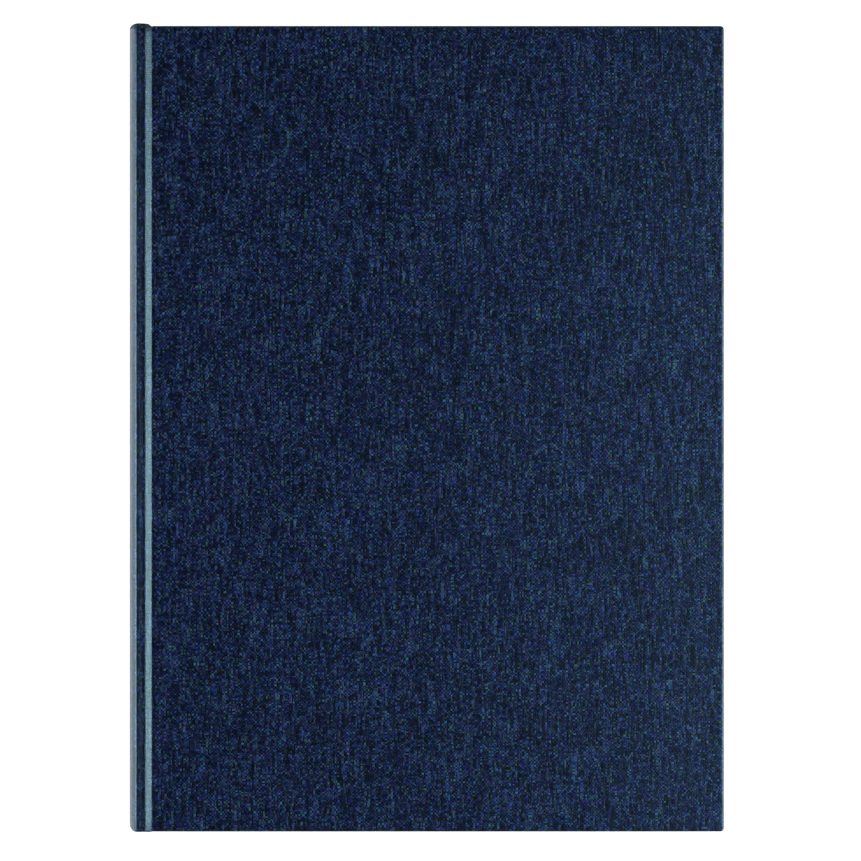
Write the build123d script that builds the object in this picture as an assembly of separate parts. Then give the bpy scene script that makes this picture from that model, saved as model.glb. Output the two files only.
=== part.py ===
from build123d import *

import math
import os

# Pilot logbook: a sewn, case-bound hard-cover book, lying closed on its back cover.
#
# Frame: +Z up (front cover on top), +Y towards the head of the book, spine on the -X side.
# The origin is the centre of the footprint, on the face the book rests on. Millimetres.

# ---------------------------------------------------------------- driving dimensions
COVER_H = 303.0        # boards with cloth, head to tail
COVER_W = 224.0        # spine apex to fore edge, with cloth
CAP_HEAD = 1.2         # how far the turned-in spine cloth stands past the boards at the head
CAP_TAIL = 0.25        # the same at the tail
BOARD_T = 2.4          # grey board
CLOTH_T = 0.35         # paper-backed book cloth
PASTE_T = 0.15         # endpaper
TURN_IN = 15.0         # width of the cloth turned over the boards' inner edges
JOINT_X = 8.9          # spine apex to the boards' spine-side edge
CORNER_R = 1.3         # outer corner of a covered board, seen from above
EDGE_R = 0.8           # outer edge of a covered board, seen from the side

N_SECTIONS = 10        # folded sections in the text block
SECTION_PITCH = 1.32   # 12 leaves of 110 g/m2 paper
SECTION_T = 1.30
PAGE_W = 215.6
PAGE_H = 297.0
FOLD_R = 0.6           # rounding of a section's back fold
BLOCK_APEX = 2.5       # spine apex to the middle sections' folds
BLOCK_R = 12.0         # rounding of the text block's back

SPINE_SAG = 2.75       # spine apex to the crest beside the joint groove
CREST_Z = 18.30        # height of the spine cloth's edge at the front crest
CARD_T = 0.80          # spine stiffener
TAPE_W = 10.0
TAPE_T = 0.25
THREAD_R = 0.15
MULL_T = 0.20
LINING_T = 0.15
TAPE_Y = (-90.0, 0.0, 90.0)
KETTLE_Y = (-132.0, 132.0)

GAP = 0.10             # air between a pastedown and its flyleaf
COVER_T = PASTE_T + BOARD_T + CLOTH_T
BLOCK_T = N_SECTIONS * SECTION_PITCH
FLY_GAP = 0.075        # air between a flyleaf and the text block
THICK = 2 * (COVER_T + GAP + PASTE_T + FLY_GAP) + BLOCK_T
MID_Z = THICK / 2

# joint axes: each cover turns about a line along Y, beside the crest of the spine, and the
# leaves that open with it turn about the same line
HINGE_X = 3.3
COVER_HINGE_Z = THICK - COVER_T - GAP / 2
OPENING_SECTIONS = 5   # sections that turn with the front cover; the rest stay with the spine

SHIFT_X = -COVER_W / 2
SHIFT_Y = -(CAP_HEAD - CAP_TAIL) / 2
HALF_H = COVER_H / 2

os.makedirs("parts", exist_ok=True)


# ---------------------------------------------------------------- helpers
def section_plane(y):
    """Sketch plane whose local x, y are the book's X, Z, at a given Y; it extrudes towards -Y."""
    return Plane(origin=(0, y, 0), x_dir=(1, 0, 0), z_dir=(0, -1, 0))


def prism(points, y0, y1):
    """Closed polygon in X, Z swept from y0 to y1."""
    wire = Polyline(*points, close=True)
    face = make_face(wire)
    return extrude(section_plane(y1) * face, amount=y1 - y0)


def slab(x0, x1, y0, y1, z0, z1):
    return Pos((x0 + x1) / 2, (y0 + y1) / 2, (z0 + z1) / 2) * Box(x1 - x0, y1 - y0, z1 - z0)


def ring(centre_x, r_in, r_out, half_angle, y0, y1):
    """Curved strip about a line along Y, convex towards -X, between two radii."""
    c, s = math.cos(half_angle), math.sin(half_angle)

    def at(r, cc, ss):
        return (centre_x - r * cc, MID_Z + r * ss)

    outline = [
        ThreePointArc(at(r_out, c, -s), at(r_out, 1, 0), at(r_out, c, s)),
        Line(at(r_out, c, s), at(r_in, c, s)),
        ThreePointArc(at(r_in, c, s), at(r_in, 1, 0), at(r_in, c, -s)),
        Line(at(r_in, c, -s), at(r_out, c, -s)),
    ]
    face = make_face(Wire(outline))
    return extrude(section_plane(y1) * face, amount=y1 - y0)


def mirrored_z(shape):
    """The same piece on the other side of the book's middle plane."""
    return mirror(shape, about=Plane(origin=(0, 0, MID_Z), z_dir=(0, 0, 1)))


def offset_points(points, distance):
    """Polyline moved sideways by distance, to the right of its direction."""
    out = []
    for i, (x, z) in enumerate(points):
        a = points[max(i - 1, 0)]
        b = points[min(i + 1, len(points) - 1)]
        dx, dz = b[0] - a[0], b[1] - a[1]
        n = math.hypot(dx, dz)
        out.append((x + distance * dz / n, z - distance * dx / n))
    return out


def write(shape, name):
    placed = Pos(SHIFT_X, SHIFT_Y, 0) * shape
    placed.label = name
    export_step(placed, f"parts/{name}.step")


def solids_of(*shapes):
    """Several separate solids in one node."""
    return Compound([s for shape in shapes for s in shape.solids()])


# ---------------------------------------------------------------- covers
# Modelled on the front; the back is its mirror image.
inner_z = THICK - COVER_T              # pastedown's free face
board_z0 = inner_z + PASTE_T           # board's inner face
board_z1 = board_z0 + BOARD_T

core = slab(JOINT_X, COVER_W - CLOTH_T, -HALF_H + CLOTH_T, HALF_H - CLOTH_T, board_z0 + CLOTH_T, board_z1)
far_corners = core.edges().filter_by(Axis.Z).group_by(Axis.X)[-1]
core = fillet(far_corners, CORNER_R - CLOTH_T + 0.2)
# the turned-in cloth is pressed flush into the board's inner margins
inner_field = slab(
    JOINT_X, COVER_W - CLOTH_T - TURN_IN,
    -HALF_H + CLOTH_T + TURN_IN, HALF_H - CLOTH_T - TURN_IN,
    board_z0, board_z0 + CLOTH_T,
)
board_full = core + inner_field

cloth_outer = slab(JOINT_X, COVER_W, -HALF_H, HALF_H, board_z0, THICK)
cloth_outer = fillet(cloth_outer.edges().filter_by(Axis.Z).group_by(Axis.X)[-1], CORNER_R)
top_edges = [
    e for e in cloth_outer.edges().group_by(Axis.Z)[-1]
    if not (abs(e.center().X - JOINT_X) < 0.01)
]
cloth_outer = fillet(top_edges, EDGE_R)
front_cover_cloth = cloth_outer - board_full

# the woven lining's flange lies in a shallow step on the board's inner face, under the pastedown
FLANGE_W = 25.0
FLANGE_H = 270.0
front_mull_flange = slab(
    JOINT_X, JOINT_X + FLANGE_W, -FLANGE_H / 2, FLANGE_H / 2, board_z0, board_z0 + MULL_T
)
front_board = board_full - front_mull_flange

PASTE_FORE = COVER_W - 4.2
front_pastedown = slab(JOINT_X, PASTE_FORE, -PAGE_H / 2, PAGE_H / 2, inner_z, board_z0)

# ---------------------------------------------------------------- joints (the two flexible grooves)
SPINE_HALF = CREST_Z - MID_Z
SPINE_R = (SPINE_HALF**2 + SPINE_SAG**2) / (2 * SPINE_SAG)
SPINE_ANGLE = math.asin(SPINE_HALF / SPINE_R)

groove_z = board_z0 + MULL_T + CLOTH_T  # outer face of the cloth at the bottom of the groove
groove = [
    (SPINE_SAG, CREST_Z),
    (3.02, 18.46),
    (3.34, 18.42),
    (3.62, 18.16),
    (3.90, 17.82),
    (4.28, 17.54),
    (4.80, groove_z),
    (5.40, groove_z),
    (6.00, 17.56),
    (6.60, 17.84),
    (7.20, 18.28),
    (7.75, 18.80),
    (8.20, 19.28),
    (8.52, 19.57),
    (JOINT_X, THICK),
]
under = offset_points(groove, CLOTH_T)
# both ends meet their neighbours face to face
under[0] = (
    SPINE_R - (SPINE_R - CLOTH_T) * math.cos(SPINE_ANGLE),
    MID_Z + (SPINE_R - CLOTH_T) * math.sin(SPINE_ANGLE),
)
under[1] = (3.12, 18.12)
under[2] = (3.20, 18.06)
under[-1] = (JOINT_X, THICK - CLOTH_T)
front_joint_cloth = prism(groove + under[::-1], -HALF_H - CAP_TAIL * 0.6, HALF_H + CAP_HEAD * 0.6)

# the mull crosses the joint from the spine to the board, under the groove
front_mull_joint = slab(4.1, JOINT_X, -FLANGE_H / 2, FLANGE_H / 2, board_z0, board_z0 + MULL_T)

# the endpaper is one folded sheet: this is its fold, with the start of the pastedown and the flyleaf
FOLD_X = 4.1
front_endpaper_fold = slab(
    FOLD_X, JOINT_X, -PAGE_H / 2, PAGE_H / 2, inner_z - GAP - PASTE_T, inner_z + PASTE_T
) - slab(FOLD_X + 0.3, JOINT_X, -PAGE_H / 2, PAGE_H / 2, inner_z - GAP, inner_z)

# ---------------------------------------------------------------- spine
spine_cloth = ring(
    SPINE_R, SPINE_R - CLOTH_T, SPINE_R, SPINE_ANGLE, -HALF_H - CAP_TAIL, HALF_H + CAP_HEAD
)
CARD_HALF = HALF_H - 0.6
CARD_TURN = 15.0
card_angle = SPINE_ANGLE - 0.012
spine_card = ring(
    SPINE_R, SPINE_R - CLOTH_T - CARD_T, SPINE_R - CLOTH_T, card_angle, -CARD_HALF, CARD_HALF
)
# the spine cloth is turned in over the card at head and tail
for side, cap in ((1, CAP_HEAD), (-1, CAP_TAIL)):
    y_in = side * (CARD_HALF - CARD_TURN)
    y_end = side * CARD_HALF
    y_cap = side * (HALF_H + cap)
    flap = ring(
        SPINE_R, SPINE_R - CLOTH_T - CARD_T, SPINE_R - 2 * CLOTH_T - 0.1, card_angle,
        min(y_in, y_end), max(y_in, y_end),
    )
    spine_card = spine_card - flap
    cap_ring = ring(
        SPINE_R, SPINE_R - CLOTH_T - CARD_T, SPINE_R - CLOTH_T, card_angle,
        min(y_end, y_cap), max(y_end, y_cap),
    )
    spine_cloth = spine_cloth + flap + cap_ring

# ---------------------------------------------------------------- endpapers
front_flyleaf = slab(
    JOINT_X, COVER_W - 4.4, -PAGE_H / 2, PAGE_H / 2, inner_z - GAP - PASTE_T, inner_z - GAP
)

# ---------------------------------------------------------------- text block
BACK_X = BLOCK_APEX + BLOCK_R          # centre of the rounded back
block_top = MID_Z + BLOCK_T / 2
sections = []
section_backs = []
for i in range(N_SECTIONS):
    z1 = block_top - i * SECTION_PITCH - (SECTION_PITCH - SECTION_T) / 2
    z0 = z1 - SECTION_T
    dz = (z0 + z1) / 2 - MID_Z
    x0 = BACK_X - math.sqrt(BLOCK_R**2 - dz**2)
    body = slab(x0, x0 + PAGE_W, -PAGE_H / 2, PAGE_H / 2, z0, z1)
    folds = body.edges().filter_by(Axis.Y).group_by(Axis.X)[0]
    sections.append(fillet(folds, FOLD_R))
    section_backs.append((x0, (z0 + z1) / 2))

# ---------------------------------------------------------------- sewing and linings on the back
LINING_GAP = 0.16      # clears the rounded shoulders of the folds
block_angle = math.asin((BLOCK_T / 2 - 0.4) / BLOCK_R)
tape_r0 = BLOCK_R + LINING_GAP
sewing_tapes = solids_of(
    *[ring(BACK_X, tape_r0, tape_r0 + TAPE_T, block_angle, y - TAPE_W / 2, y + TAPE_W / 2) for y in TAPE_Y]
)


def stitch(back, y0, y1):
    """One length of thread along a section's fold, outside the tapes."""
    x, z = back
    angle = math.asin((z - MID_Z) / BLOCK_R)
    r = tape_r0 + TAPE_T + THREAD_R + 0.01
    return Pos(BACK_X - r * math.cos(angle), (y0 + y1) / 2, MID_Z + r * math.sin(angle)) * (
        Rot(90, 0, 0) * Cylinder(THREAD_R, y1 - y0)
    )


sewing_thread = solids_of(
    *[stitch(b, y - TAPE_W / 2 - 1.0, y + TAPE_W / 2 + 1.0) for b in section_backs for y in TAPE_Y],
    *[stitch(b, y - 2.0, y + 2.0) for b in section_backs for y in KETTLE_Y],
)

mull_r0 = tape_r0 + TAPE_T + 2 * THREAD_R + 0.03
MULL_HALF = FLANGE_H / 2
spine_mull = ring(BACK_X, mull_r0, mull_r0 + MULL_T, block_angle, -MULL_HALF, MULL_HALF)
lining_r0 = mull_r0 + MULL_T
spine_lining = ring(BACK_X, lining_r0, lining_r0 + LINING_T, block_angle, -PAGE_H / 2, PAGE_H / 2)

# head and tail bands: a rolled bead over the edge of the text block and a woven strip on its back
BEAD_R = 0.75
BAND_STRIP = 10.0


def band(side):
    strip_r0 = tape_r0
    y0 = side * (PAGE_H / 2 - BAND_STRIP)
    y1 = side * (PAGE_H / 2 + BEAD_R)
    strip = ring(BACK_X, strip_r0, strip_r0 + 0.35, block_angle, min(y0, y1), max(y0, y1))
    bead_r = BLOCK_R - 0.4
    yb = side * (PAGE_H / 2 + BEAD_R + 0.02)
    c, s = math.cos(block_angle), math.sin(block_angle)
    start = (BACK_X - bead_r * c, yb, MID_Z - bead_r * s)
    mid = (BACK_X - bead_r, yb, MID_Z)
    end = (BACK_X - bead_r * c, yb, MID_Z + bead_r * s)
    path = ThreePointArc(start, mid, end)
    bead = sweep(Plane(origin=start, z_dir=path % 0) * Circle(BEAD_R), path=path)
    return strip + bead


headband = band(1)
tailband = band(-1)

# ---------------------------------------------------------------- write
for name, shape in {
    "front_board": front_board,
    "front_cover_cloth": front_cover_cloth,
    "front_pastedown": front_pastedown,
    "front_mull_flange": front_mull_flange,
    "front_joint_cloth": front_joint_cloth,
    "front_mull_joint": front_mull_joint,
    "front_endpaper_fold": front_endpaper_fold,
    "front_flyleaf": front_flyleaf,
}.items():
    write(shape, name)
    write(mirrored_z(shape), name.replace("front_", "back_"))

write(spine_cloth, "spine_cloth")
write(spine_card, "spine_card")
write(spine_lining, "spine_lining")
write(spine_mull, "spine_mull")
write(sewing_tapes, "sewing_tapes")
write(sewing_thread, "sewing_thread")
write(headband, "headband")
write(tailband, "tailband")
for i, body in enumerate(sections):
    name = f"section_{i + 1:02d}"
    if i < OPENING_SECTIONS:
        # the leaves bend in the gutter, between the sewn fold and the part that lies flat
        gutter = slab(0, JOINT_X, -COVER_H, COVER_H, 0, THICK)
        write(body & gutter, name + "_gutter")
        write(body - gutter, name)
    else:
        write(body, name)

print("thickness", round(THICK, 3), "middle", round(MID_Z, 3))
print("inner_z", round(inner_z, 3), "board", round(board_z0, 3), round(board_z1, 3))
print("spine radius", round(SPINE_R, 3), "half angle", round(math.degrees(SPINE_ANGLE), 2))
print("front hinge", round(HINGE_X + SHIFT_X, 3), round(COVER_HINGE_Z, 3))
print("back hinge", round(HINGE_X + SHIFT_X, 3), round(THICK - COVER_HINGE_Z, 3))
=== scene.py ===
import math
import random

import bmesh
import bpy
import numpy as np
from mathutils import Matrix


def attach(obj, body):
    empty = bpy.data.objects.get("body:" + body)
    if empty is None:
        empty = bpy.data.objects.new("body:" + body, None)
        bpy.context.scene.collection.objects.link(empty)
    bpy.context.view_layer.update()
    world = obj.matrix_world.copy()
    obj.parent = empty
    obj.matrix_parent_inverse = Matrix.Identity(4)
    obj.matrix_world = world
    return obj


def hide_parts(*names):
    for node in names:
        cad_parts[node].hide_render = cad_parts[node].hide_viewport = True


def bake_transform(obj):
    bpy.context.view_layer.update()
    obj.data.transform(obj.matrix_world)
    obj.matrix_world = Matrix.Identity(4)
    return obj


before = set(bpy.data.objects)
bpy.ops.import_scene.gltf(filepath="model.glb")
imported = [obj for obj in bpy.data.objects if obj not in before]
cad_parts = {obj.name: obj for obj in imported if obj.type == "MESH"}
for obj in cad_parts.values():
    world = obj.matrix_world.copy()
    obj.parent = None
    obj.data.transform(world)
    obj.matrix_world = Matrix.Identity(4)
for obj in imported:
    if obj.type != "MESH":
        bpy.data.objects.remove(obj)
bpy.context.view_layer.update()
rng = random.Random(7)

MM = 0.001
OX, OY = 112.0, 0.475  # spine apex to the row's origin, and the half-difference of the two caps

# the same driving sizes as the CAD model, in millimetres
H = 151.5
COVER_W = 224.0
THICK = 19.65
MID = THICK / 2
BOARD_IN = 16.9
INNER = 16.75
JOINT_X = 9.25
PAGE_H2 = 148.5
SPINE_R = 14.434
CREST_Z = 17.69
BACK_X, BLOCK_R, PITCH, SECT = 14.5, 12.0, 1.32, 1.30
HINGE_X = 3.3
SPINE_U = 6.65  # the spine's middle line lies this far before the cover's own zero in the flat cloth
# how much each kind of unevenness lightens or darkens the cloth
KNOT, SOFT, SLUB, PICK, CHECK = 0.82, 0.10, 1.90, 0.50, 0.75


def row(x, y, z):
    """A point measured from the spine apex, the middle of the height and the table, in the row frame."""
    return ((x - OX) * MM, (y - OY) * MM, z * MM)


# ------------------------------------------------------------------ node helpers
class Graph:
    def __init__(self, name):
        self.mat = bpy.data.materials.new(name)
        self.mat.use_nodes = True
        self.nt = self.mat.node_tree
        self.nt.nodes.clear()
        out = self.nt.nodes.new("ShaderNodeOutputMaterial")
        self.bsdf = self.nt.nodes.new("ShaderNodeBsdfPrincipled")
        self.nt.links.new(self.bsdf.outputs[0], out.inputs[0])

    def put(self, value, socket):
        if isinstance(value, bpy.types.NodeSocket):
            self.nt.links.new(value, socket)
        else:
            socket.default_value = value

    def m(self, op, a, b=0.0, c=0.0, clamp=False):
        n = self.nt.nodes.new("ShaderNodeMath")
        n.operation = op
        n.use_clamp = clamp
        for value, socket in zip((a, b, c), n.inputs):
            self.put(value, socket)
        return n.outputs[0]

    def uv(self, name):
        n = self.nt.nodes.new("ShaderNodeUVMap")
        n.uv_map = name
        return self.split(n.outputs[0])

    def split(self, vector):
        n = self.nt.nodes.new("ShaderNodeSeparateXYZ")
        self.put(vector, n.inputs[0])
        return n.outputs[0], n.outputs[1], n.outputs[2]

    def obj(self):
        n = self.nt.nodes.new("ShaderNodeTexCoord")
        return self.split(n.outputs["Object"])

    def xyz(self, x, y, z=0.0):
        n = self.nt.nodes.new("ShaderNodeCombineXYZ")
        for value, socket in zip((x, y, z), n.inputs):
            self.put(value, socket)
        return n.outputs[0]

    def noise(self, vector, scale=1.0, detail=2.0, rough=0.5):
        n = self.nt.nodes.new("ShaderNodeTexNoise")
        self.put(vector, n.inputs["Vector"])
        n.inputs["Scale"].default_value = scale
        n.inputs["Detail"].default_value = detail
        n.inputs["Roughness"].default_value = rough
        return n.outputs[0]

    def white(self, vector):
        n = self.nt.nodes.new("ShaderNodeTexWhiteNoise")
        self.put(vector, n.inputs[0])
        return n.outputs[0]

    def step(self, x, lo, hi, to_lo=0.0, to_hi=1.0):
        n = self.nt.nodes.new("ShaderNodeMapRange")
        n.interpolation_type = "SMOOTHSTEP"
        for value, socket in zip((x, lo, hi, to_lo, to_hi), n.inputs):
            self.put(value, socket)
        return n.outputs[0]

    def ramp(self, fac, *stops):
        n = self.nt.nodes.new("ShaderNodeValToRGB")
        e = n.color_ramp.elements
        while len(e) < len(stops):
            e.new(0.5)
        for el, (pos, color) in zip(e, stops):
            el.position = pos
            el.color = (*color, 1.0)
        self.put(fac, n.inputs[0])
        return n.outputs[0]

    def mix(self, fac, a, b):
        n = self.nt.nodes.new("ShaderNodeMix")
        n.data_type = "RGBA"
        self.put(fac, n.inputs[0])
        for value, socket in ((a, n.inputs[6]), (b, n.inputs[7])):
            self.put((*value, 1.0) if isinstance(value, tuple) else value, socket)
        return n.outputs[2]

    def finish(self, color, rough, height=None, bump_mm=0.05, strength=1.0):
        self.put(color, self.bsdf.inputs["Base Color"])
        self.put(rough, self.bsdf.inputs["Roughness"])
        if height is not None:
            b = self.nt.nodes.new("ShaderNodeBump")
            b.inputs["Strength"].default_value = strength
            b.inputs["Distance"].default_value = bump_mm * MM
            self.put(height, b.inputs["Height"])
            self.nt.links.new(b.outputs[0], self.bsdf.inputs["Normal"])
        return self.mat


# ------------------------------------------------------------------ materials
def book_cloth():
    """Navy plain-weave cloth: every crossing differs a little, with slubs mostly along the book's height."""
    g = Graph("book_cloth")
    u, v, _ = g.uv("cloth")
    u = g.m("MULTIPLY", u, 1000.0)
    v = g.m("MULTIPLY", v, 1000.0)
    # threads wander a little from a straight line
    wob_u = g.noise(g.xyz(g.m("MULTIPLY", u, 0.50), g.m("MULTIPLY", v, 0.10), 3.1), 1.0, 2.0)
    wob_v = g.noise(g.xyz(g.m("MULTIPLY", u, 0.10), g.m("MULTIPLY", v, 0.50), 8.7), 1.0, 2.0)
    wu = g.m("MULTIPLY_ADD", wob_u, 2.0, g.m("ADD", u, 400.0))
    wv = g.m("MULTIPLY_ADD", wob_v, 2.0, g.m("ADD", v, 400.0))
    p = 0.66
    iu = g.m("FLOOR", g.m("DIVIDE", wu, p))
    iv = g.m("FLOOR", g.m("DIVIDE", wv, p))
    a = g.m("SINE", g.m("MULTIPLY", wu, math.pi / p))
    b = g.m("SINE", g.m("MULTIPLY", wv, math.pi / p))
    over = g.m("MULTIPLY_ADD", g.m("MULTIPLY", a, b), 0.5, 0.5)
    warp = g.m("MULTIPLY", g.m("ABSOLUTE", a), over)
    weft = g.m("MULTIPLY", g.m("ABSOLUTE", b), g.m("SUBTRACT", 1.0, over))
    weave = g.m("MAXIMUM", warp, weft)
    knot = g.white(g.xyz(iu, iv, 0.5))
    soft = g.noise(g.xyz(g.m("MULTIPLY", u, 1.05), g.m("MULTIPLY", v, 0.80), 0.0), 1.0, 2.0, 0.6)
    warp_n = g.noise(g.xyz(g.m("MULTIPLY", iu, 3.7), g.m("MULTIPLY", v, 0.075), 1.0), 1.0, 3.0, 0.6)
    weft_n = g.noise(g.xyz(g.m("MULTIPLY", u, 0.085), g.m("MULTIPLY", iv, 3.7), 5.0), 1.0, 3.0, 0.6)
    cloudy = g.noise(g.xyz(g.m("MULTIPLY", u, 0.022), g.m("MULTIPLY", v, 0.017), 2.0), 1.0, 3.0, 0.55)
    f = g.m("MULTIPLY_ADD", knot, KNOT, 0.36 - KNOT / 2)
    f = g.m("MULTIPLY_ADD", g.m("SUBTRACT", soft, 0.5), SOFT, f)
    f = g.m("MULTIPLY_ADD", g.m("SUBTRACT", warp_n, 0.5), SLUB, f)
    f = g.m("MULTIPLY_ADD", g.m("SUBTRACT", weft_n, 0.5), PICK, f)
    f = g.m("MULTIPLY_ADD", g.m("SUBTRACT", over, 0.5), CHECK, f)
    f = g.m("MULTIPLY_ADD", weave, 0.10, f)
    f = g.m("MULTIPLY_ADD", g.m("SUBTRACT", cloudy, 0.5), 0.16, f)
    # a painted highlight lightens the rounding of the fore edge, and the cloth is rubbed lighter, less, at head and
    # tail
    av = g.m("ABSOLUTE", v)
    ends = g.m("MULTIPLY", g.step(av, 151.0, 151.9), g.step(av, 154.5, 153.4))
    # painted highlight: a pale line on the rounding of the fore edge
    fore = g.m("MULTIPLY", g.step(u, COVER_W - 1.3, COVER_W - 0.9), g.step(u, COVER_W + 0.1, COVER_W - 0.3))
    edge = g.m("MULTIPLY", ends, 0.25)
    rub = g.m("MULTIPLY", edge, g.step(g.noise(g.xyz(u, v, 9.0), 0.9, 3.0), 0.36, 0.66))
    # the head and tail wear and the painted fore-edge highlight both lighten the cloth
    f = g.m("MULTIPLY_ADD", g.m("MAXIMUM", rub, fore), 0.30, f)
    # painted shade: darker where it turns over head and tail, along the outermost line of the spine, and in a thin line
    # just past the board's edge in the groove
    # painted shade on the cloth turning over head and, half as strong, tail
    head = g.m("MULTIPLY", g.step(v, 150.5, 151.0), g.step(v, 153.2, 152.4))
    tail = g.m("MULTIPLY", g.step(v, -150.9, -151.3), g.step(v, -153.2, -152.4))
    from_mid = g.m("ABSOLUTE", g.m("ADD", u, SPINE_U))
    from_mid = g.m("MINIMUM", from_mid, g.m("ABSOLUTE", g.m("ADD", u, SPINE_U + 300.0)))
    # painted shade along the spine's outermost line
    spine_line_shade = g.step(from_mid, 3.6, 1.6)
    # painted shade in a thin line just past the board's spine-side edge
    board_edge_shade = g.m("MULTIPLY", g.step(u, JOINT_X - 0.1, JOINT_X + 0.1), g.step(u, JOINT_X + 0.9, JOINT_X + 0.5))
    # all the painted shade together, which darkens the cloth
    painted_shade = g.m("MAXIMUM", g.m("MAXIMUM", head, g.m("MULTIPLY", tail, 0.5)), g.m("MAXIMUM", g.m("MULTIPLY", spine_line_shade, 0.9), g.m("MULTIPLY", board_edge_shade, 0.4)))
    f = g.m("MULTIPLY_ADD", painted_shade, -0.42, f)
    color = g.ramp(
        f,
        (0.0, (0.0006, 0.0008, 0.0060)),
        (0.20, (0.0024, 0.0034, 0.0230)),
        (0.40, (0.0066, 0.0100, 0.0550)),
        (0.60, (0.0140, 0.0240, 0.1000)),
        (0.80, (0.0270, 0.0560, 0.1650)),
        (1.0, (0.0500, 0.1150, 0.2450)),
    )
    # single crossings lean to violet, green or plain navy
    dye = g.nt.nodes.new("ShaderNodeTexWhiteNoise")
    g.put(g.xyz(iu, iv, 7.5), dye.inputs[0])
    lean = g.nt.nodes.new("ShaderNodeVectorMath")
    lean.operation = "SCALE"
    g.put(dye.outputs["Color"], lean.inputs[0])
    lean.inputs["Scale"].default_value = 2.0
    tint = g.nt.nodes.new("ShaderNodeMix")
    tint.data_type = "RGBA"
    tint.blend_type = "MULTIPLY"
    tint.inputs[0].default_value = 0.55
    g.put(color, tint.inputs[6])
    g.put(lean.outputs[0], tint.inputs[7])
    color = tint.outputs[2]
    rough = g.m("MULTIPLY_ADD", g.m("MAXIMUM", head, spine_line_shade), 0.40, g.step(f, 0.1, 0.8, 0.31, 0.24))
    height = g.m("MULTIPLY_ADD", knot, 0.55, g.m("MULTIPLY_ADD", warp_n, 0.9, weave))
    g.bsdf.inputs["IOR"].default_value = 1.6
    g.bsdf.inputs["Specular IOR Level"].default_value = 0.62
    g.bsdf.inputs["Specular Tint"].default_value = (0.48, 0.88, 1.0, 1.0)
    return g.finish(color, rough, height, 0.030, 1.0)


def paper(name, light, dark, ruled=False):
    g = Graph(name)
    if ruled:
        u, v, _ = g.uv("page")
        u = g.m("MULTIPLY", u, 1000.0)
        v = g.m("MULTIPLY", v, 1000.0)
    else:
        x, y, z = g.obj()
        u = g.m("MULTIPLY", g.m("ADD", x, z), 1000.0)
        v = g.m("MULTIPLY", y, 1000.0)
    grain = g.noise(g.xyz(u, v), 0.9, 4.0, 0.65)
    tone = g.noise(g.xyz(u, v, 3.0), 0.03, 3.0)
    fac = g.m("MULTIPLY_ADD", tone, 0.6, g.m("MULTIPLY", grain, 0.4))
    color = g.ramp(fac, (0.3, dark), (0.7, light))
    if ruled:
        # a letterless table: header band, rows and unequal columns
        inside = g.m(
            "MULTIPLY",
            g.m("MULTIPLY", g.step(u, 15.9, 16.0), g.step(u, 206.1, 206.0)),
            g.m("MULTIPLY", g.step(v, -134.1, -134.0), g.step(v, 134.1, 134.0)),
        )
        fr = g.m("FRACT", g.m("DIVIDE", g.m("ADD", v, 134.0), 8.0))
        row_line = g.m("GREATER_THAN", g.m("ABSOLUTE", g.m("SUBTRACT", fr, 0.5)), 0.482)
        lines = row_line
        for x in (16.0, 34.0, 56.0, 78.0, 94.0, 110.0, 126.0, 138.0, 150.0, 162.0, 176.0, 190.0, 206.0):
            near = g.m("LESS_THAN", g.m("ABSOLUTE", g.m("SUBTRACT", u, x)), 0.13)
            lines = g.m("MAXIMUM", lines, near)
        header = g.m("GREATER_THAN", v, 118.0)
        totals = g.m("LESS_THAN", v, -110.0)
        band = g.m("MULTIPLY", inside, g.m("MAXIMUM", header, g.m("MULTIPLY", totals, 0.6)))
        alt = g.m("GREATER_THAN", g.m("FRACT", g.m("DIVIDE", g.m("ADD", v, 134.0), 16.0)), 0.5)
        color = g.mix(g.m("MULTIPLY", g.m("MULTIPLY", inside, alt), 0.20), color, (0.62, 0.74, 0.70))
        color = g.mix(g.m("MULTIPLY", band, 0.50), color, (0.42, 0.58, 0.60))
        color = g.mix(g.m("MULTIPLY", g.m("MULTIPLY", inside, lines), 0.72), color, (0.16, 0.30, 0.34))
    g.bsdf.inputs["Specular IOR Level"].default_value = 0.2
    return g.finish(color, g.step(grain, 0.3, 0.7, 0.75, 0.9), grain, 0.02, 0.5)


def page_edge():
    """Cut edges of the leaves: fine lines, a little darker where dust settles."""
    g = Graph("page_edge")
    x, y, z = g.obj()
    line = g.noise(g.xyz(g.m("MULTIPLY", x, 12.0), g.m("MULTIPLY", y, 12.0), g.m("MULTIPLY", z, 9000.0)), 1.0, 3.0, 0.6)
    tone = g.noise(g.xyz(g.m("MULTIPLY", x, 30.0), g.m("MULTIPLY", y, 30.0), g.m("MULTIPLY", z, 200.0)), 1.0, 3.0)
    fac = g.m("MULTIPLY_ADD", line, 0.7, g.m("MULTIPLY", tone, 0.3))
    color = g.ramp(fac, (0.30, (0.50, 0.46, 0.36)), (0.52, (0.76, 0.72, 0.62)), (0.75, (0.86, 0.83, 0.75)))
    g.bsdf.inputs["Specular IOR Level"].default_value = 0.15
    return g.finish(color, 0.88, line, 0.04, 0.6)


def speckled(name, light, dark, scale, rough, bump):
    """Card and board: matted fibres."""
    g = Graph(name)
    x, y, z = g.obj()
    vec = g.xyz(g.m("MULTIPLY", x, 1000.0), g.m("MULTIPLY", y, 1000.0), g.m("MULTIPLY", z, 1000.0))
    n = g.noise(vec, scale, 5.0, 0.7)
    fleck = g.noise(vec, scale * 0.35, 2.0, 0.5)
    color = g.ramp(g.m("MULTIPLY_ADD", fleck, 0.45, g.m("MULTIPLY", n, 0.55)), (0.32, dark), (0.66, light))
    g.bsdf.inputs["Specular IOR Level"].default_value = 0.2
    return g.finish(color, g.step(n, 0.3, 0.7, rough - 0.06, rough + 0.04), n, bump, 0.7)


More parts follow.
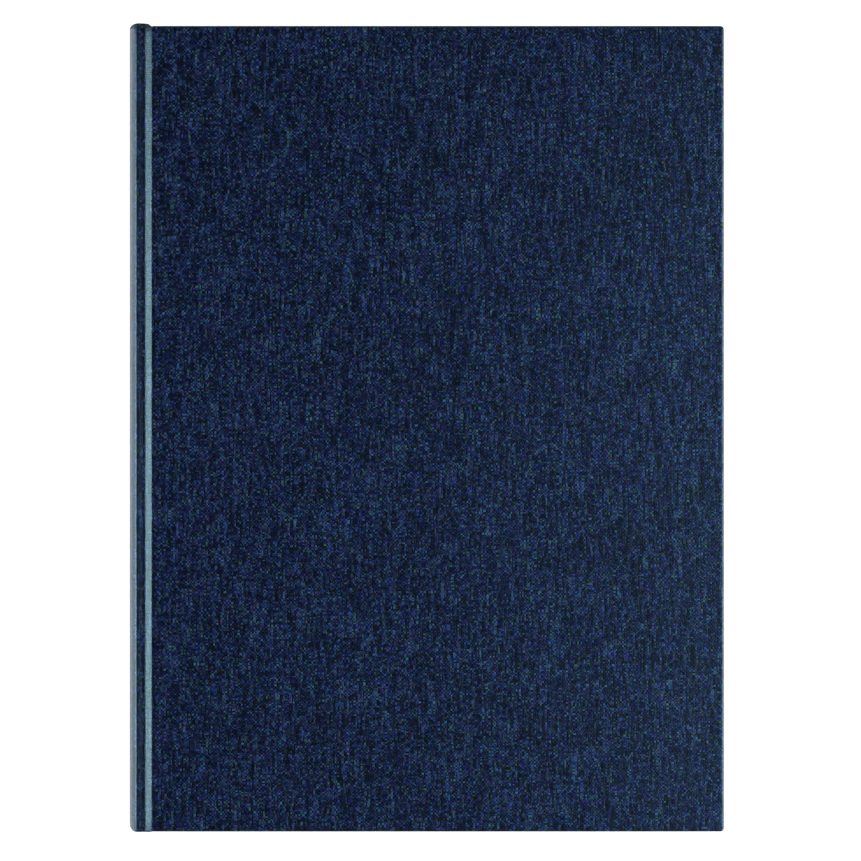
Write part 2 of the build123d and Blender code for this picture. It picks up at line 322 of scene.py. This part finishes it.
def woven(name, light, dark, pitch, bump, stripe=None):
    """Cotton, tape and thread: a plain weave at its own pitch, with coloured stripes on the bands."""
    g = Graph(name)
    x, y, z = g.obj()
    s = math.pi * 1000.0 / pitch
    across = g.m("MULTIPLY", g.m("ADD", g.m("MULTIPLY", z, s), g.m("MULTIPLY", x, s * 0.35)), 1.0)
    along = g.m("MULTIPLY", y, s)
    a = g.m("SINE", across)
    b = g.m("SINE", along)
    over = g.m("MULTIPLY_ADD", g.m("MULTIPLY", a, b), 0.5, 0.5)
    weave = g.m(
        "MAXIMUM",
        g.m("MULTIPLY", g.m("ABSOLUTE", a), over),
        g.m("MULTIPLY", g.m("ABSOLUTE", b), g.m("SUBTRACT", 1.0, over)),
    )
    n = g.noise(g.xyz(g.m("MULTIPLY", x, 900.0), g.m("MULTIPLY", y, 900.0), g.m("MULTIPLY", z, 900.0)), 1.0, 3.0)
    color = g.ramp(g.m("MULTIPLY_ADD", n, 0.5, g.m("MULTIPLY", weave, 0.5)), (0.15, dark), (0.75, light))
    if stripe:
        band = g.m("GREATER_THAN", g.m("SINE", g.m("MULTIPLY", z, 2 * math.pi * 1000.0 / 1.7)), 0.0)
        color = g.mix(band, color, stripe)
    g.bsdf.inputs["Specular IOR Level"].default_value = 0.25
    return g.finish(color, g.step(weave, 0.0, 1.0, 0.85, 0.65), weave, bump, 0.9)


CLOTH = book_cloth()
ENDPAPER = paper("endpaper", (0.80, 0.77, 0.68), (0.72, 0.69, 0.60))
PAGE = paper("page_paper", (0.84, 0.82, 0.75), (0.77, 0.75, 0.67), ruled=True)
EDGE = page_edge()
BOARD = speckled("grey_board", (0.30, 0.285, 0.26), (0.16, 0.15, 0.135), 1.6, 0.9, 0.05)
CARD = speckled("spine_card", (0.34, 0.31, 0.26), (0.20, 0.18, 0.15), 2.2, 0.88, 0.03)
KRAFT = speckled("lining_paper", (0.42, 0.28, 0.15), (0.28, 0.18, 0.09), 1.2, 0.85, 0.03)
MULL = woven("mull", (0.76, 0.72, 0.60), (0.40, 0.37, 0.29), 0.8, 0.08)
TAPE = woven("sewing_tape", (0.74, 0.70, 0.59), (0.46, 0.43, 0.35), 0.5, 0.06)
THREAD = woven("sewing_thread", (0.82, 0.79, 0.70), (0.52, 0.49, 0.41), 0.28, 0.05)
BAND = woven("bands", (0.80, 0.78, 0.72), (0.46, 0.45, 0.42), 0.42, 0.10, stripe=(0.020, 0.045, 0.14))


# ------------------------------------------------------------------ mesh helpers
def mesh_object(name, bm, mats, smooth_angle=None):
    me = bpy.data.meshes.new(name)
    bmesh.ops.remove_doubles(bm, verts=bm.verts, dist=2e-7)
    bmesh.ops.recalc_face_normals(bm, faces=bm.faces)
    for f in bm.faces:
        f.smooth = True
    bm.to_mesh(me)
    bm.free()
    for m in mats:
        me.materials.append(m)
    o = bpy.data.objects.new(name, me)
    bpy.context.scene.collection.objects.link(o)
    if smooth_angle is not None:
        me.set_sharp_from_angle(angle=math.radians(smooth_angle))
    return o


def add_grid(bm, uv_layer, pts, uvs, mat=0):
    """Quads over a grid of points in millimetres, with their place in the flat cloth as UVs."""
    vs = [[bm.verts.new(row(*p)) for p in line] for line in pts]
    for i in range(len(vs) - 1):
        for j in range(len(vs[0]) - 1):
            corner = ((i, j), (i + 1, j), (i + 1, j + 1), (i, j + 1))
            f = bm.faces.new([vs[a][b] for a, b in corner])
            f.material_index = mat
            for loop, (a, b) in zip(f.loops, corner):
                loop[uv_layer].uv = (uvs[a][b][0] * MM, uvs[a][b][1] * MM)


def flip(z, side):
    return z if side > 0 else THICK - z


# ------------------------------------------------------------------ covers
CR, ER, IR = 1.3, 0.8, 0.35  # corner in plan, outer edge, inner edge


def cover_cloth(name, side):
    """Cloth over one board: outer face, rounded edges, and the turn-in on the inner face."""
    bm = bmesh.new()
    uvl = bm.loops.layers.uv.new("cloth")
    prof = [(d, THICK, -d) for d in (15.0, 10.0, 6.0, 3.0, 1.6)]
    for k in range(9):
        t = k / 8 * math.pi / 2
        prof.append((ER - ER * math.sin(t), THICK - ER + ER * math.cos(t), -ER + ER * t))
    q = prof[-1][2]
    for z in (18.3, 17.8):
        prof.append((0.0, z, q + (THICK - ER - z)))
    q += THICK - ER - (BOARD_IN + IR)
    for k in range(6):
        t = k / 5 * math.pi / 2
        prof.append((IR - IR * math.cos(t), BOARD_IN + IR - IR * math.sin(t), q + IR * t))
    q = prof[-1][2]
    for d in (1.3, 2.6, 4.0, 6.0, 9.0, 14.9):
        prof.append((d, BOARD_IN, q + d - IR))
    nx, ny, nc = 56, 76, 6
    stations = [("head", i / nx) for i in range(nx + 1)]
    stations += [("c1", i / nc) for i in range(1, nc)]
    stations += [("fore", i / ny) for i in range(ny + 1)]
    stations += [("c2", i / nc) for i in range(1, nc)]
    stations += [("tail", i / nx) for i in range(nx + 1)]
    pts, uvs = [], []
    for kind, t in stations:
        lp, lu = [], []
        for d, z, q in prof:
            m = max(d, CR)
            ex, ey = COVER_W - m, H - m
            r = max(CR - d, 0.0)
            if kind == "head":
                x, y, n = JOINT_X + t * (ex - JOINT_X), H - d, (0, 1)
            elif kind == "tail":
                x, y, n = ex + t * (JOINT_X - ex), -(H - d), (0, -1)
            elif kind == "fore":
                x, y, n = COVER_W - d, ey - 2 * t * ey, (1, 0)
            else:
                a = math.pi / 2 * (1 - t) if kind == "c1" else -math.pi / 2 * t
                n = (math.cos(a), math.sin(a))
                sy = 1 if kind == "c1" else -1
                x, y = ex + r * n[0], sy * ey + r * n[1]
            lp.append((x, y, flip(z, side)))
            lu.append((x + n[0] * (d + q), y + n[1] * (d + q)))
        pts.append(lp)
        uvs.append(lu)
    add_grid(bm, uvl, pts, uvs)
    xe, ye = COVER_W - 15.0, H - 15.0
    face = [
        [(JOINT_X + (xe - JOINT_X) * i / nx, ye - 2 * ye * j / ny, flip(THICK, side)) for j in range(ny + 1)]
        for i in range(nx + 1)
    ]
    add_grid(bm, uvl, face, [[(p[0], p[1]) for p in line] for line in face])
    # the spine-side end of the turned-in cloth, at head and tail
    for lp, lu in ((pts[0], uvs[0]), (pts[-1], uvs[-1])):
        vs = [bm.verts.new(row(*p)) for p in lp]
        f = bm.faces.new(vs)
        for loop, p in zip(f.loops, lp):
            loop[uvl].uv = ((JOINT_X - (THICK - flip(p[2], side))) * MM, p[1] * MM)
    return mesh_object(name, bm, [CLOTH], 50)


# ------------------------------------------------------------------ spine and joints
GROOVE = [
    (2.33, 17.69), (2.70, 17.96), (3.08, 18.16), (3.42, 18.24), (3.76, 18.22), (4.30, 18.12), (5.00, 17.99),
    (5.50, 17.92), (5.90, 17.93), (6.25, 18.01), (6.60, 18.18), (7.10, 18.50), (7.60, 18.83), (8.10, 19.17),
    (8.55, 19.46), (8.86, 19.63), (9.08, 19.67), (9.25, 19.655),
]


def catmull(points, per):
    out = []
    p = [points[0]] + points + [points[-1]]
    for i in range(1, len(p) - 2):
        for k in range(per):
            t = k / per
            out.append(tuple(
                0.5 * (2 * p[i][c] + (p[i + 1][c] - p[i - 1][c]) * t
                       + (2 * p[i - 1][c] - 5 * p[i][c] + 4 * p[i + 1][c] - p[i + 2][c]) * t * t
                       + (3 * p[i][c] - p[i - 1][c] - 3 * p[i + 1][c] + p[i + 2][c]) * t ** 3)
                for c in (0, 1)
            ))
    out.append(points[-1])
    return out


def case_strip(name, side):
    """Half of the spine with one joint groove: outer face, rolled ends and the turned-in cloth inside."""
    amax = math.asin((CREST_Z - MID) / SPINE_R)
    outer = []
    for k in range(20):
        a = amax * k / 20
        outer.append((SPINE_R - SPINE_R * math.cos(a), MID + SPINE_R * math.sin(a)))
    outer += catmull(GROOVE, 3)
    n_pts = len(outer)
    s = [0.0]
    for i in range(1, n_pts):
        s.append(s[-1] + math.dist(outer[i], outer[i - 1]))
    bm = bmesh.new()
    uvl = bm.loops.layers.uv.new("cloth")
    pts, uvs = [], []
    for i, (x, z) in enumerate(outer):
        a, b = outer[max(i - 1, 0)], outer[min(i + 1, n_pts - 1)]
        dx, dz = b[0] - a[0], b[1] - a[1]
        if i == 0:
            dx, dz = 0.0, 1.0
        ln = math.hypot(dx, dz)
        n = (-dz / ln, dx / ln)
        thick = 1.12 if x < 2.4 else (0.62 if x > 3.4 else 1.12 - 0.5 * (x - 2.4))
        r = thick / 2
        arch = max(0.0, 1 - abs((x - 4.2) / 4.4) ** 3.4)
        head = H - 0.42 + 1.52 * arch ** 0.7
        tail = H + 0.22 - 1.5 * max(0.0, 1 - x / 1.9) ** 2
        if x > 7.6:
            k = (x - 7.6) / 1.65
            head = head * (1 - k) + (H - 0.1) * k
            tail = tail * (1 - k) + (H - 0.1) * k
        lp, lu = [], []
        u = JOINT_X - (s[-1] - s[i])

        def put(off_n, y, v):
            lp.append((x + n[0] * off_n, y, flip(z + n[1] * off_n, side)))
            lu.append((u if side > 0 else u - 300.0, v))

        for y in (H - 15.0, H - 8.0, H - 3.0):
            put(-thick, y, 2 * head - y)
        for k in range(9):
            t = math.pi * (1 - k / 8)
            put(-r + r * math.cos(t), head - r + r * math.sin(t), head - r + r * t)
        ny = 64
        for k in range(1, ny):
            y = (head - r) + ((-tail + r) - (head - r)) * k / ny
            put(0.0, y, y)
        for k in range(9):
            t = math.pi * k / 8
            put(-r + r * math.cos(t), -tail + r - r * math.sin(t), -tail + r - r * t)
        for y in (H - 3.0, H - 8.0, H - 15.0):
            put(-thick, -y, -2 * tail + y)
        pts.append(lp)
        uvs.append(lu)
    add_grid(bm, uvl, pts, uvs)
    return mesh_object(name, bm, [CLOTH], 60)


# ------------------------------------------------------------------ paper sheets
def bend_xs(x0, x1):
    """Close steps in the gutter, long ones over the flat of the leaf."""
    xs, x = [], x0
    while x < min(26.0, x1):
        xs.append(x)
        x += 0.5 if x < 12 else 1.2
    while x < x1 - 6:
        xs.append(x)
        x += 9.0
    return xs + [x1]


def ribbon(bm, uvl, centre, thick, y0, y1, mats=(0, 1)):
    """A sheet along a line in X, Z, with its own thickness and cut edges. centre is (x, z, u) points."""
    left, right = [], []
    for i, (x, z, u) in enumerate(centre):
        a, b = centre[max(i - 1, 0)], centre[min(i + 1, len(centre) - 1)]
        dx, dz = b[0] - a[0], b[1] - a[1]
        ln = math.hypot(dx, dz)
        nx, nz = -dz / ln * thick / 2, dx / ln * thick / 2
        left.append((x + nx, z + nz))
        right.append((x - nx, z - nz))
    rings = []
    for y in (y0, y1):
        rings.append((
            [bm.verts.new(row(p[0], y, p[1])) for p in left],
            [bm.verts.new(row(p[0], y, p[1])) for p in right],
        ))
    us = [c[2] for c in centre]

    def quad(vs, data, mat):
        f = bm.faces.new(vs)
        f.material_index = mat
        for loop, (u, v) in zip(f.loops, data):
            loop[uvl].uv = (u * MM, v * MM)

    for i in range(len(centre) - 1):
        u0, u1 = us[i], us[i + 1]
        for k in (0, 1):
            quad([rings[0][k][i], rings[0][k][i + 1], rings[1][k][i + 1], rings[1][k][i]],
                 [(u0, y0), (u1, y0), (u1, y1), (u0, y1)], mats[0])
        for e, y in ((0, y0), (1, y1)):
            quad([rings[e][0][i], rings[e][0][i + 1], rings[e][1][i + 1], rings[e][1][i]],
                 [(u0, y), (u1, y), (u1, y), (u0, y)], mats[1])
    for i in (0, len(centre) - 1):
        quad([rings[0][0][i], rings[1][0][i], rings[1][1][i], rings[0][1][i]],
             [(us[i], y0), (us[i], y1), (us[i], y1), (us[i], y0)], mats[1])


def flat_sheet(name, x0, x1, za, zb, side, y2, mats):
    bm = bmesh.new()
    uvl = bm.loops.layers.uv.new("page")
    z = flip((za + zb) / 2, side)
    ribbon(bm, uvl, [(x, z, x) for x in bend_xs(x0, x1)], zb - za, -y2, y2)
    return mesh_object(name, bm, mats, 40)


def section(name, index):
    """Six folded sheets nested in one another: twelve leaves."""
    block_top = MID + 5 * PITCH
    z1 = block_top - index * PITCH - (PITCH - SECT) / 2
    zc = z1 - SECT / 2
    x0 = BACK_X - math.sqrt(BLOCK_R ** 2 - (zc - MID) ** 2)
    p = SECT / 12
    bm = bmesh.new()
    uvl = bm.loops.layers.uv.new("page")
    for k in range(6):
        hk = SECT / 2 - (k + 0.5) * p
        a = min(hk, 0.55) + 0.02
        xf = x0 + 0.05 + k * p + a
        lo_end = x0 + 215.6 - rng.uniform(0.02, 0.20)
        hi_end = x0 + 215.6 - rng.uniform(0.02, 0.20)
        lower = [(x, zc - hk, x - x0) for x in reversed(bend_xs(xf, lo_end))]
        fold = [
            (xf - a * math.sin(t), zc - hk * math.cos(t), xf - a * math.sin(t) - x0)
            for t in [math.pi * j / 8 for j in range(1, 8)]
        ]
        upper = [(x, zc + hk, x - x0) for x in bend_xs(xf, hi_end)]
        dy = rng.uniform(0.0, 0.10)
        ribbon(bm, uvl, lower + fold + upper, p * 0.82, -PAGE_H2 + dy, PAGE_H2 - rng.uniform(0.0, 0.10))
    return mesh_object(name, bm, [PAGE, EDGE], 40)


# ------------------------------------------------------------------ build
for side, tag, mirror_z in ((1, "front", False), (-1, "back", True)):
    cover = cover_cloth(f"case_cloth_{tag}", side)
    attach(cover, f"{tag}_cover")
    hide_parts(f"{tag}_cover_cloth")

    strip = case_strip(f"case_strip_{tag}", side)
    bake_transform(strip)
    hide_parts(f"{tag}_joint_cloth", *(["spine_cloth"] if side > 0 else []))

    paste = flat_sheet(f"pastedown_sheet_{tag}", 4.1, COVER_W - 4.2, INNER, BOARD_IN, side, PAGE_H2, [ENDPAPER, EDGE])
    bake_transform(paste)
    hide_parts(f"{tag}_pastedown", f"{tag}_endpaper_fold")

    fly = flat_sheet(f"flyleaf_sheet_{tag}", 4.1, COVER_W - 4.4, INNER - 0.25, INNER - 0.10, side, PAGE_H2, [ENDPAPER, EDGE])
    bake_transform(fly)
    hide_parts(f"{tag}_flyleaf")

    mull = flat_sheet(f"mull_strip_{tag}", 4.1, JOINT_X + 0.2, BOARD_IN + 0.02, BOARD_IN + 0.18, side, 135.0, [MULL, MULL])
    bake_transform(mull)
    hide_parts(f"{tag}_mull_joint")

for i in range(10):
    piece = section(f"leaves_{i + 1:02d}", i)
    node = f"section_{i + 1:02d}"
    if i < 5:
        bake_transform(piece)
        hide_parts(node, node + "_gutter")
    else:
        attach(piece, "root")
        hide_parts(node)

look = {
    "front_board": BOARD, "back_board": BOARD, "front_mull_flange": MULL, "back_mull_flange": MULL,
    "spine_card": CARD, "spine_lining": KRAFT, "spine_mull": MULL, "sewing_tapes": TAPE,
    "sewing_thread": THREAD, "headband": BAND, "tailband": BAND,
}
for node, material in look.items():
    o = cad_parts[node]
    o.data.materials.clear()
    o.data.materials.append(material)

# ------------------------------------------------------------------ floor, light, camera
g = Graph("floor")
x, y, z = g.obj()
n = g.noise(g.xyz(x, y, z), 6.0, 3.0)
g.bsdf.inputs["Specular IOR Level"].default_value = 0.1
white = g.finish(g.ramp(n, (0.3, (0.90, 0.90, 0.90)), (0.7, (0.93, 0.93, 0.93))), 0.9)
bpy.ops.mesh.primitive_plane_add(size=8.0, location=(0, 0, -0.0002))
floor = bpy.context.object
floor.name = "floor"
# the sheet under the book is lit from below as well, as on a light table
g.bsdf.inputs["Emission Color"].default_value = (1.0, 1.0, 1.0, 1.0)
g.bsdf.inputs["Emission Strength"].default_value = 0.90
floor.data.materials.append(white)

g = Graph("backdrop")
x, y, z = g.obj()
g.finish(g.ramp(g.noise(g.xyz(x, y, z), 1.0, 2.0), (0.3, (0.90, 0.90, 0.90)), (0.7, (0.93, 0.93, 0.93))), 0.9)
g.bsdf.inputs["Emission Color"].default_value = (1.0, 1.0, 1.0, 1.0)
g.bsdf.inputs["Emission Strength"].default_value = 0.90
bpy.ops.mesh.primitive_cylinder_add(vertices=96, radius=3.9, depth=3.4, end_fill_type="NOTHING", location=(0, 0, 1.69))
backdrop = bpy.context.object
backdrop.name = "backdrop"
backdrop.data.materials.append(g.mat)
backdrop.visible_diffuse = False
backdrop.visible_glossy = False
backdrop.visible_shadow = False

world = bpy.data.worlds.new("studio")
world.use_nodes = True
world.node_tree.nodes["Background"].inputs[0].default_value = (0.93, 0.96, 1.0, 1.0)
world.node_tree.nodes["Background"].inputs[1].default_value = 0.03
bpy.context.scene.world = world


def area(name, loc, target, sx, sy, watts, color=(1, 1, 1)):
    light = bpy.data.lights.new(name, "AREA")
    light.shape = "RECTANGLE"
    light.size, light.size_y = sx, sy
    light.energy = watts
    light.color = color
    o = bpy.data.objects.new(name, light)
    bpy.context.scene.collection.objects.link(o)
    o.location = loc
    d = np.array(target) - np.array(loc)
    from mathutils import Vector

    o.rotation_euler = Vector(d).to_track_quat("-Z", "Y").to_euler()
    return o


area("left_softbox", (-1.15, -0.07, 0.37), (0, 0, 0.0), 0.64, 0.66, 8.2)
area("right_softbox", (0.62, -0.11, 0.52), (0.04, -0.07, 0.0), 0.74, 0.60, 6.0, (0.97, 1.0, 0.96))

cam_data = bpy.data.cameras.new("camera")
cam_data.type = "PERSP"
cam_data.sensor_width = 36.0
cam_data.lens = 200.0
cam_data.clip_start = 0.05
cam_data.clip_end = 50.0
cam = bpy.data.objects.new("camera", cam_data)
bpy.context.scene.collection.objects.link(cam)
cam.location = (0.00163, -0.00112, 1.8176)
cam.rotation_euler = (0, 0, 0)
bpy.context.scene.camera = cam
bpy.context.scene.view_settings.view_transform = "Standard"
